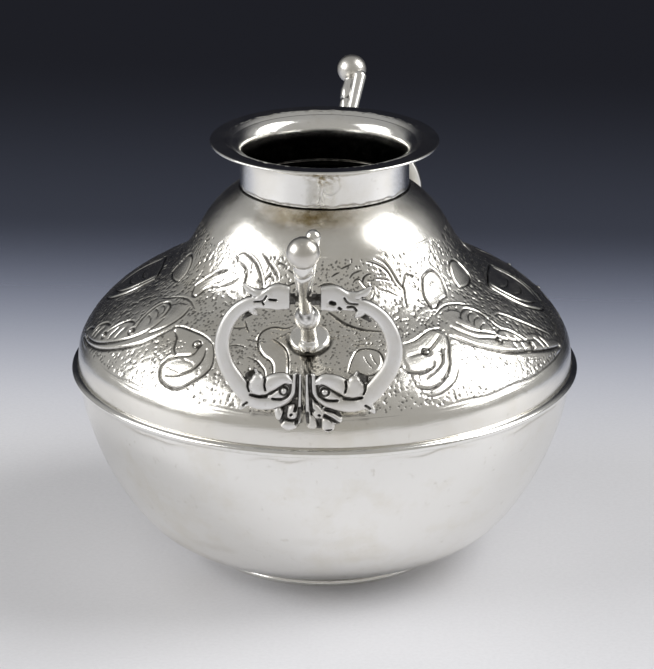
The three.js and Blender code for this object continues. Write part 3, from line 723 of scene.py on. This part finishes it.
def bowl():
    """The plain lower half, with a rough solder seam under the wire."""
    outside = spline(BOWL_OUTLINE[2:], 150)
    floor = spline(BOWL_OUTLINE[:3], 16)[:-1]
    outside = np.concatenate([floor, outside])
    outside[0, 0] = 0.02
    loop = shell_loop(outside, 60)
    angle = around(PLAIN_COLUMNS)
    turn, up = angle[None, :], loop[:, 1:2]
    lift = hammered(turn, up, 3) * np.clip(loop[:, :1] / 30, 0, 1)
    seam = bell(up + 2.6 + 0.5 * wobble(turn, 0 * up, 25, 40, 31), 0.45)
    seam = seam * np.clip(0.4 + wobble(turn, 0 * up, 12, 12, 32), 0, 1)
    outer = (np.arange(len(loop)) < len(outside))[:, None]
    piece = turned("bowl_skin", loop, PLAIN_COLUMNS, lift + 0.10 * seam * outer)
    # Painted shade: the inside is dark. The outside carries tarnish along the solder seam.
    store(piece, "tarnish_and_shade", np.where(outer, 0.35 * seam, 0.8).ravel())
    cloud = np.clip(0.5 * wobble(turn, 3 * up, 20, 9, 33) - 0.35, 0, 0.4)
    low_stain = cloud * np.clip((-up - 25) / 20, 0, 1)
    store(piece, "stain", (np.maximum(0.3 * seam, low_stain) * outer).ravel())
    finish_piece(piece, "bowl", "pot", PLAIN)


def foot_ring():
    """The low strip that the pot stands on."""
    inner = FOOT_R - 1.4
    base = -GIRDLE_Z
    top = FOOT_TOP - GIRDLE_Z
    loop = np.array([(inner + 0.15, base), (FOOT_R - 0.25, base), (FOOT_R - 0.05, base + 0.2),
                     (FOOT_R, base + 0.6), (FOOT_R - 0.1, top), (inner, top), (inner, base + 0.3)])
    piece = turned("foot_ring_skin", loop, PLAIN_COLUMNS)
    finish_piece(piece, "foot_ring", "pot", PLAIN)


def girdle_wire():
    """The half-round wire over the joint of the two halves."""
    flat = WALL_R + 0.02
    half = (corner("girdle_wire", 1)[2] - corner("girdle_wire", 0)[2]) / 2
    turn = np.linspace(-np.pi / 2, np.pi / 2, 17)
    loop = np.stack([flat + (GIRDLE_R - flat) * np.cos(turn), half * np.sin(turn)], 1)
    piece = turned("girdle_wire_skin", loop, 720)
    finish_piece(piece, "girdle_wire", "pot", PLAIN)


def boss_shadow_and_reflection(turn, up, radius):
    """Painted shadow round each boss, heaviest below it, and a painted dark reflection of the stem in a
    streak below it.
    """
    across = ((np.degrees(turn) + 90) % 180 - 90) * radius * np.pi / 180
    from_boss = np.hypot(across, up - BOSS_UP)
    ring = bell(from_boss - 5.7, 0.8) * np.clip(0.5 - (up - BOSS_UP) / 6, 0.1, 1)
    streaks = np.clip(0.65 + 0.5 * np.sin(9 * across + 0.8 * up) * np.sin(4 * across - 1.3 * up), 0, 1)
    streak = np.exp(-(((across - 0.3) / 1.7) ** 4)) * np.clip((BOSS_UP - 4 - up) / 2, 0, 1)
    streak *= np.clip((up - 11) / 5, 0, 1)
    return np.maximum(ring, streak * streaks)


def shoulder_stain(angle, along):
    """Brown flux stain under the neck, and a faint warm film round the front handle."""
    turn = (np.degrees(angle)[None, :] + 180) % 360 - 180
    below_neck = bell(along[:, None] - 69, 4.0)
    cloud = np.clip(wobble(angle[None, :], along[:, None], 9, 9, 41), 0, 1)
    stain = below_neck * (1.3 * bell(turn + 3, 20) + 0.35 * cloud)
    film = 0.22 * bell(turn, 30) * bell(along[:, None] - 33, 16)
    return np.clip(np.maximum(stain, film), 0, 1)


def shoulder():
    """The chased upper half of the body."""
    outside = spline(SHOULDER_OUTLINE, SHOULDER_ROWS)
    loop = shell_loop(outside, 24)
    along = np.concatenate([[0], np.cumsum(np.linalg.norm(np.diff(outside, axis=0), axis=1))])
    angle = around(COLUMNS)
    height, dark = chasing(angle, along, outside[:, 0])
    height += hammered(angle[None, :], along[:, None], 5)
    fade = np.clip(np.minimum(along, along[-1] - along) / 1.5, 0, 1)
    lift = np.zeros((len(loop), COLUMNS))
    lift[:SHOULDER_ROWS] = height * fade[:, None]
    piece = turned("shoulder_skin", loop, COLUMNS, lift)
    # Painted shadow round each boss and a painted dark reflection of its stem in a streak below it.
    dark = np.maximum(dark, boss_shadow_and_reflection(angle[None, :], along[:, None], outside[:, :1]))
    dark[-2:] = 1.0  # painted shade on the edge under the neck
    # Painted shade: the whole inside of the shoulder is black.
    inside = np.full((len(loop) - SHOULDER_ROWS, COLUMNS), 1.0)
    store(piece, "tarnish_and_shade", np.concatenate([dark, inside]))
    store(piece, "stain", np.concatenate([shoulder_stain(angle, along), 0 * inside]))
    finish_piece(piece, "shoulder", "pot", CHASED)


def neck_collar():
    """The neck: a bent strip with a soldered seam and patch, its top rolled outwards."""
    outside = spline(NECK_OUTLINE, 60)
    loop = shell_loop(outside, 60)
    angle = around(NECK_COLUMNS)
    turn, up = (np.degrees(angle)[None, :] + 180) % 360 - 180, loop[:, 1:2]
    outer = (np.arange(len(loop)) < len(outside))[:, None]
    middle = NECK_SEAM + 0.5 * np.sin(0.9 * up) + 0.3 * np.sin(2.3 * up)
    seam = bell(turn - middle, 0.8) * outer
    step = 0.12 * (1 / (1 + np.exp(-(turn - middle) / 0.6)) - 1 / (1 + np.exp(-(turn - middle - 14) / 3)))
    patch = bell(np.hypot((turn - middle - 7) / 6.5, (up - 59.5) / 3.6) - 1, 0.09) * outer
    base = bell(up - 52.7 - 0.25 * wobble(angle[None, :], 0 * up, 20, 40, 51), 0.35) * outer
    lift = 0.5 * hammered(angle[None, :], up, 52) + step * outer - 0.10 * seam + 0.05 * patch
    lift = lift * np.clip((63.2 - up) / 1.5, 0, 1) + 0.12 * base
    piece = turned("neck_collar_skin", loop, NECK_COLUMNS, lift)
    spotty = np.clip(0.5 + wobble(angle[None, :], 5 * up, 30, 90, 53), 0, 1)
    # Painted shade: the inside of the neck turns black deeper down.
    inside_shade = (1 - outer) * np.clip((60.4 - up) / 2.6, 0, 1)
    store(piece, "tarnish_and_shade", np.maximum(0.5 * np.maximum(seam, base) * spotty, inside_shade))
    high = bell(up - 61.2, 2.2) * bell(turn - middle - 2, 9) * outer
    store(piece, "stain", np.clip(1.1 * high * spotty + 0.3 * seam + 0.2 * patch + 0.3 * base, 0, 1))
    finish_piece(piece, "neck_collar", "pot", PLAIN)


def brim_ring():
    """The broad ring round the mouth, with a line of solder on top."""
    under = spline(BRIM_OUTLINE, 24)
    top = spline(BRIM_TOP, 90)
    loop = np.concatenate([under, top])
    angle = around(NECK_COLUMNS)
    turn, out = angle[None, :], loop[:, :1]
    upper = (np.arange(len(loop)) >= len(under))[:, None]
    line = 27.2 + 0.25 * wobble(turn, 0 * out, 25, 40, 61)
    solder = bell(out - line, 0.22) * upper
    spotty = np.clip(0.5 + wobble(turn, 6 * out, 30, 90, 62), 0, 1)
    piece = turned("brim_ring_skin", loop, NECK_COLUMNS, 0.07 * solder * spotty)
    store(piece, "tarnish_and_shade", 0.5 * bell(out - line + 0.4, 0.2) * upper * spotty)
    store(piece, "stain", 0.25 * solder * spotty)
    finish_piece(piece, "brim_ring", "pot", PLAIN)


# ---- sampled shapes ----------------------------------------------
def surface(field, low, step):
    """Points and quads of the closed surface where a sampled field is zero. It is negative inside."""
    inside = field < 0
    size = [n - 1 for n in field.shape]
    corners = [(i, j, k) for i in (0, 1) for j in (0, 1) for k in (0, 1)]
    count = sum(inside[i:size[0] + i, j:size[1] + j, k:size[2] + k].astype(np.int8) for i, j, k in corners)
    active = (count > 0) & (count < 8)
    number = np.full(active.shape, -1)
    cell = np.argwhere(active)
    number[active] = np.arange(len(cell))
    total, hits = np.zeros((len(cell), 3)), np.zeros((len(cell), 1))
    quads = []
    for axis in range(3):
        unit = np.eye(3, dtype=int)[axis]
        for start in (np.array(c) for c in corners if c[axis] == 0):
            a, b = (field[tuple((cell + c).T)] for c in (start, start + unit))
            crossed = ((a < 0) != (b < 0))[:, None]
            share = np.divide(a, a - b, out=np.zeros_like(a), where=a != b)[:, None]
            total += np.where(crossed, start + share * unit, 0)
            hits += crossed
        turned_field = np.moveaxis(inside, (axis, (axis + 1) % 3, (axis + 2) % 3), (0, 1, 2))
        turned_number = np.moveaxis(number, (axis, (axis + 1) % 3, (axis + 2) % 3), (0, 1, 2))
        i, j, k = np.argwhere(turned_field[:-1, 1:-1, 1:-1] != turned_field[1:, 1:-1, 1:-1]).T
        quad = np.stack([turned_number[i, j, k], turned_number[i, j + 1, k],
                         turned_number[i, j + 1, k + 1], turned_number[i, j, k + 1]], 1)
        flip = ~turned_field[i, j + 1, k + 1]
        quad[flip] = quad[flip][:, ::-1]
        quads.append(quad)
    return np.array(low) + step * (cell + total / hits), np.concatenate(quads), cell


def samples(box, step):
    """Where the samples of a box lie along x, y and z."""
    low, high = np.array(box)
    count = np.ceil((high - low) / step).astype(int)
    return [low[k] + step * np.arange(count[k]) for k in range(3)]


def blurred(field, reach=4, width=2.2):
    """A field averaged over its neighbourhood."""
    weights = np.exp(-0.5 * (np.arange(-reach, reach + 1) / width) ** 2)
    weights /= weights.sum()
    for axis in range(3):
        field = sum(w * np.roll(field, shift, axis) for w, shift in zip(weights, range(-reach, reach + 1)))
    return field


def hollows(field, cell):
    """How deep in a crease each surface cell lies, from 0 to 1."""
    near = np.clip(field, -0.8, 0.8)
    return np.clip((near - blurred(near))[tuple(cell.T)] / 0.09, 0, 1)


def smaller(a, b, blend):
    """The union of two fields, with the crease between them filled a little."""
    share = np.clip(0.5 + 0.5 * (b - a) / blend, 0, 1)
    return b + (a - b) * share - blend * share * (1 - share)


# ---- cast handles ------------------------------------------------
def stroke_field(strokes, x, y, depth):
    """Signed field of all the strokes of a scroll, joined with soft creases."""
    field = np.full((*x.shape, depth.shape[2]), 9, np.float32)
    for tall, lift, square, points in strokes:
        line = smooth_line(points, 0.4)
        d, share = distance_to_line(x, y, line)
        half = np.interp(share, np.linspace(0, 1, len(line)), line[:, 2])
        high = np.minimum(tall, 1.25 * half)[:, :, None].astype(np.float32)
        across = (d / half)[:, :, None].astype(np.float32)
        shape = (across**square + (np.abs(depth - lift) / high) ** square) ** (1 / square) - 1
        field = smaller(field, shape * np.minimum(half[:, :, None], high).astype(np.float32), 0.22)
    return np.maximum(field, np.abs(depth) - SCROLL_HALF_THICK)


def cut_depths(cuts, x, y, eye):
    """How deep the cuts and the ring round the eye go into the front of a scroll."""
    cut = np.zeros(x.shape)
    for width, deep, points in cuts:
        d = distance_to_line(x, y, smooth_line(points, 0.3))[0]
        cut = np.maximum(cut, deep * bell(d, width))
    return np.maximum(cut, 0.6 * bell(eye - 1.05, 0.25))


def hinge(field, x, y, depth):
    """Adds the collar round the pivot pin and drills the pin's hole."""
    round_pin = np.hypot(y[:, :, None], depth).astype(np.float32)
    sideways = x[:, :, None].astype(np.float32)
    middle, half = (TRUNNION_IN + TRUNNION_OUT) / 2, (TRUNNION_OUT - TRUNNION_IN) / 2
    collar = np.maximum(round_pin - TRUNNION_R, np.abs(sideways - middle) - half)
    hole = np.maximum(round_pin - PIN_HOLE_R, sideways - PIN_HOLE_END)
    return np.maximum(np.minimum(field, collar), -hole)


def scroll_tarnish_and_shade(hand, points, creases, cut):
    """Black tarnish in the creases and the cuts; painted shade on the collar in the gap beside the stem, on
    the side that meets the other scroll, and along the flanks."""
    # Painted shade in the gap beside the stem, and on the face that meets the other scroll.
    near_pin = (points[:, 0] < TERMINAL_FACE[hand] + 0.1) & (points[:, 1] > -5)
    inner_side = np.clip((0.75 - points[:, 0]) / 0.3, 0, 1)
    tarnish_and_shade = np.maximum(creases, np.maximum(near_pin, inner_side))
    tarnish_and_shade = np.maximum(tarnish_and_shade, np.clip(cut / 0.35, 0, 1) * (points[:, 2] > 0))
    # Painted shade: the flanks go dark, standing in for the dark outline of the arms.
    flank = np.clip((0.65 - points[:, 2]) / 0.6, 0, 1) * np.clip((points[:, 2] + 1.1) / 0.5, 0, 1)
    return np.maximum(tarnish_and_shade, flank)


def scroll(hand):
    """Points, faces, and tarnish with painted shade of one scroll, built on the +x side of the pivot: x,
    up, outward.
    """
    x, y, z = samples(SCROLL_BOX, SCROLL_STEP)
    flat_x, flat_y = np.meshgrid(x, y, indexing="ij")
    depth = z[None, None, :].astype(np.float32)
    own_x = flat_x / SCROLL_SPREAD[hand]
    strokes, cuts = {"left": (LEFT_STROKES, LEFT_CUTS), "right": (RIGHT_STROKES, RIGHT_CUTS)}[hand]
    eye = np.hypot(own_x - EYE_AT[0], flat_y - EYE_AT[1])
    field = stroke_field(SCROLL_STROKES + strokes, own_x, flat_y, depth)
    cut = cut_depths(SCROLL_CUTS + cuts, own_x, flat_y, eye)
    field = field + cut[:, :, None].astype(np.float32) * np.clip(depth / 0.6, 0, 1)
    bead = np.sqrt(eye[:, :, None] ** 2 + (depth - 0.75) ** 2) - 0.85
    field = smaller(field, bead.astype(np.float32), 0.05)
    limit = np.where(flat_y > -10, TERMINAL_FACE[hand], SCROLL_GAP) - flat_x
    field = np.maximum(field, limit[:, :, None].astype(np.float32))
    field = hinge(field, flat_x, flat_y, depth)
    points, faces, cell = surface(field, SCROLL_BOX[0], SCROLL_STEP)
    tarnish_and_shade = scroll_tarnish_and_shade(hand, points, hollows(field, cell), cut[cell[:, 0], cell[:, 1]])
    return points, faces, tarnish_and_shade


# ---- lugs --------------------------------------------------------
def tilted(lean):
    """Axes of a piece whose own z rises at lean from the horizontal toward the front."""
    return np.array([(1, 0, 0), (0, math.sin(lean), math.cos(lean)), (0, -math.cos(lean), math.sin(lean))])


def stem_bend(along):
    """Sideways drift of the stem's middle line."""
    return np.interp(along, [0, 14, 22, 26, 40, 48.3, 52], [0.1, 0.35, 0.05, 0.0, 0.8, LUG_LEAN, 1.5])


def prong(side, x, y, z):
    """Field of the blunt prong beside the ball: a tapered rod with round ends."""
    aside, above, top = PRONG_TIP[side]
    foot_aside, foot_above, foot = PRONG_FOOT
    share = np.clip((z - foot) / (top - foot), 0, 1)
    off_x = x - (foot_aside + (aside - foot_aside) * share)
    off_y = y - (foot_above + (above - foot_above) * share)
    beyond = np.clip(np.abs(z - (top + foot) / 2) - (top - foot) / 2, 0, None)
    return 0.95 * (np.sqrt(off_x**2 + off_y**2 + beyond**2) - 1.35 - 0.6 * share)


def above_boss(x, y, z, axes):
    """Field that keeps a stem clear of the shoulder under its boss."""
    normal = axes @ np.array([0, -math.sin(DISC_SLOPE), math.cos(DISC_SLOPE)])
    face = np.array([0, -DISC_AT[0], DISC_AT[1]]) - np.array([0, -STEM_FOOT[0], STEM_FOOT[1]])
    height = normal @ (axes @ face) + DISC_THICK - 0.35
    return height - (x * normal[0] + y * normal[1] + z * normal[2])


def stem(side):
    """Points, faces and tarnish of a stem, facing front."""
    x, y, z = samples(STEM_BOX, STEM_STEP)
    profile = spline(STEM_PROFILE, 200)
    radius = np.interp(z, profile[:, 0], profile[:, 1]) + 0.05 * wobble(np.zeros(1), z, 6, 9, 21)
    bend = stem_bend(z)
    x, y = x[:, None, None], y[None, :, None]
    sideways = x - bend[None, None, :]
    angle = np.arctan2(y, sideways)
    uneven = 0.06 * np.sin(3 * angle + 0.21 * z) + 0.05 * np.sin(5 * angle - 0.4 * z)
    field = 0.93 * (np.hypot(sideways, y) - radius - uneven * (z > 17))
    field = np.maximum(field, z[None, None, :] - STEM_TOP)
    field = smaller(field, prong(side, x, y, z), 0.4)
    foot = np.sqrt(x**2 + (0.9 * (y + 1.3)) ** 2 + (0.85 * (z - 1.0)) ** 2) - 2.6
    field = smaller(field, foot, 0.5)
    axes = tilted(STEM_LEAN)
    field = np.maximum(field, above_boss(x, y, z, axes))
    field = np.maximum(field, PIN_HOLE_R + 0.04 - np.hypot(y, z - PIVOT_ALONG))
    points, faces, cell = surface(field, STEM_BOX[0], STEM_STEP)
    blotch = 0.6 + 0.4 * np.sin(3.1 * points[:, 0] + points[:, 1]) * np.sin(2.3 * points[:, 2])
    joint = bell(points[:, 2] - 17.3, 1.5) * blotch
    tarnish_and_shade = np.maximum(hollows(field, cell), 0.8 * joint)
    return points @ axes + (0, -STEM_FOOT[0], STEM_FOOT[1]), faces, tarnish_and_shade


def ring_of(profile, columns, axes, origin, bumps=0.0, seed=1):
    """Points and faces of a closed (radius, height) profile turned about its own tilted z."""
    angle = around(columns)
    profile = np.array(profile, float)
    swell = 1 + bumps * wobble(angle[None, :], 6 * profile[:, 1:], 12, 6, seed)
    x, y = profile[:, :1] * np.sin(angle) * swell, -profile[:, :1] * np.cos(angle) * swell
    local = np.stack([x, y, np.broadcast_to(profile[:, 1:], x.shape)], -1).reshape(-1, 3)
    return local @ axes + origin, grid_faces(len(profile), columns, True)


def ball():
    """Points and faces of the ball at the end of a stem."""
    turn = np.linspace(-np.pi / 2 + 0.01, np.pi / 2 - 0.01, 72)
    profile = np.stack([BALL_R * np.cos(turn), BALL_R * np.sin(turn)], 1)
    axes = tilted(STEM_LEAN)
    middle = np.array([LUG_LEAN, 0, BALL_ALONG]) @ axes + (0, -STEM_FOOT[0], STEM_FOOT[1])
    return ring_of(profile, 128, axes, middle, 0.006, 4)


def disc():
    """Points and faces of the domed boss under a stem."""
    top = spline(DISC_TOP, 40)
    profile = np.concatenate([[(0.02, -1.1), (5.1, -1.3), (5.3, -0.6)], top[::-1]])
    axes = tilted(math.pi / 2 - DISC_SLOPE)
    return ring_of(profile, 128, axes, np.array([0, -DISC_AT[0], DISC_AT[1]]), 0.004, 9)


def lug(side):
    """A lug at the front, or its mirror image at the back."""
    mirror = {"front": 1, "back": -1}[side]
    shapes = {"lug_stem": stem(side), "ball_finial": ball(), "lug_disc": disc()}
    materials = {"lug_stem": STEM, "ball_finial": BALL, "lug_disc": STEM}
    for node, (points, faces, *tarnish_and_shade) in shapes.items():
        piece = mesh_object(f"{side}_{node}_skin", points * (1, mirror, 1), faces[:, ::mirror])
        store(piece, "tarnish_and_shade", tarnish_and_shade[0] if tarnish_and_shade else np.zeros(len(points)))
        finish_piece(piece, f"{side}_{node}", "pot", materials[node])
    paint(f"{side}_inner_rove", STEM)


def handle(side):
    """Both scrolls of one handle, hanging from its pivot."""
    turn = {"front": 1, "back": -1}[side]
    outward = STEM_FOOT[0] + PIVOT_ALONG * math.cos(STEM_LEAN)
    pivot = np.array([0, -outward, STEM_FOOT[1] + PIVOT_ALONG * math.sin(STEM_LEAN)])
    axes = tilted(HANDLE_TILT)
    for hand, sign in (("left", -1), ("right", 1)):
        points, faces, tarnish_and_shade = scroll(hand)
        points = ((points * (sign, 1, 1)) @ axes + pivot) * (turn, turn, 1)
        piece = mesh_object(f"{side}_handle_{hand}_scroll_skin", points, faces[:, ::sign])
        store(piece, "tarnish_and_shade", tarnish_and_shade)
        finish_piece(piece, f"{side}_handle_{hand}_scroll", f"{side}_handle", CAST)
    # Painted shade on the pivot pin in its gap.
    paint(f"{side}_pivot_pin", PIN_IN_SHADE)


# ---- stage -------------------------------------------------------
def placed(name, data, location, rotation):
    """A camera or a light, put in the scene."""
    made = bpy.data.objects.new(name, data)
    bpy.context.scene.collection.objects.link(made)
    made.location = location
    made.rotation_mode = "QUATERNION"
    made.rotation_quaternion = rotation
    return made


def camera():
    """The camera, at the height and side that show both handles."""
    elevation, azimuth = math.radians(CAMERA_ELEVATION), math.radians(CAMERA_AZIMUTH)
    back = Vector((math.sin(azimuth) * math.cos(elevation), -math.cos(azimuth) * math.cos(elevation),
                   math.sin(elevation)))
    right = Vector((math.cos(azimuth), math.sin(azimuth), 0))
    aim = Vector((0, 0, AIM_UP)) + right * AIM_RIGHT
    data = bpy.data.cameras.new("camera")
    data.lens = CAMERA_LENS
    data.sensor_width = CAMERA_SENSOR
    made = placed("camera", data, aim + back * CAMERA_DISTANCE, (-back).to_track_quat("-Z", "Y"))
    bpy.context.scene.camera = made


def softbox(name, direction, width, height, power):
    """A white panel of light that faces the pot."""
    data = bpy.data.lights.new(name, "AREA")
    data.shape = "RECTANGLE"
    data.size, data.size_y = width, height
    data.energy = power
    toward = Vector(direction).normalized()
    placed(name, data, Vector(SOFTBOX_AIM) + toward * SOFTBOX_DISTANCE, toward.to_track_quat("Z", "Y"))


def world():
    """A pale room all round the pot, but for a dark backdrop straight behind it."""
    made = bpy.data.worlds.new("studio")
    bpy.context.scene.world = made
    made.use_nodes = True
    tree = made.node_tree
    place = tree.nodes.new("ShaderNodeTexCoord")
    split = tree.nodes.new("ShaderNodeSeparateXYZ")
    tree.links.new(place.outputs["Generated"], split.inputs[0])
    share = tree.nodes.new("ShaderNodeMapRange")
    share.inputs["From Min"].default_value = 1.0
    share.inputs["From Max"].default_value = -1.0
    tree.links.new(split.outputs["Y"], share.inputs["Value"])
    ramp = tree.nodes.new("ShaderNodeValToRGB")
    colours = ramp.color_ramp.elements
    for stop, (position, colour) in ((colours[0], ROOM_COLOURS[0]), (colours[1], ROOM_COLOURS[-1])):
        stop.position = position
        stop.color = (*colour, 1)
    for position, colour in ROOM_COLOURS[1:-1]:
        colours.new(position).color = (*colour, 1)
    tree.links.new(share.outputs["Result"], ramp.inputs["Fac"])
    tree.links.new(ramp.outputs["Color"], tree.nodes["Background"].inputs["Color"])
    tree.nodes["Background"].inputs["Strength"].default_value = 1.0


def floor():
    """A pale sheet that fades into the dark backdrop behind the pot."""
    mesh = bpy.data.meshes.new("floor")
    corners = [(x * FLOOR_HALF, y * FLOOR_HALF, 0) for x, y in ((-1, -1), (1, -1), (1, 1), (-1, 1))]
    mesh.from_pydata(corners, [], [(0, 1, 2, 3)])
    made = bpy.data.objects.new("floor", mesh)
    bpy.context.scene.collection.objects.link(made)
    n = Nodes("floor")
    n.shader.inputs["Roughness"].default_value = 0.55
    fine = n.remap(n.noise(900, 2, 0.5), 0.3, 0.7)
    along = n.add("ShaderNodeSeparateXYZ", links={"Vector": n.place}).outputs["Y"]
    near, far = (n.remap(along, low, high, 0.0, most, "SMOOTHSTEP") for low, high, most in FLOOR_FADES)
    back = n.math("ADD", near, far)
    away = n.add("ShaderNodeVectorMath", links={0: n.place}, operation="LENGTH").outputs["Value"]
    gone = n.math("MAXIMUM", back, n.remap(away, *FLOOR_RIM, kind="SMOOTHSTEP"))
    pale = n.mix(fine, (0.79, 0.79, 0.82), (0.83, 0.83, 0.86))
    n.into("Base Color", n.mix(back, pale, (0.52, 0.60, 0.86)))
    clear = n.add("ShaderNodeBsdfTransparent")
    mix = n.add("ShaderNodeMixShader", links={0: gone, 1: n.shader.outputs[0], 2: clear.outputs[0]})
    n.tree.links.new(mix.outputs[0], n.tree.nodes["Material Output"].inputs["Surface"])
    mesh.materials.append(n.material)


camera()
world()
floor()
for box_name, settings in SOFTBOXES.items():
    softbox(box_name, *settings)
bpy.context.scene.view_settings.view_transform = "Standard"
bowl()
foot_ring()
girdle_wire()
shoulder()
neck_collar()
brim_ring()
for side in ("front", "back"):
    lug(side)
    handle(side)
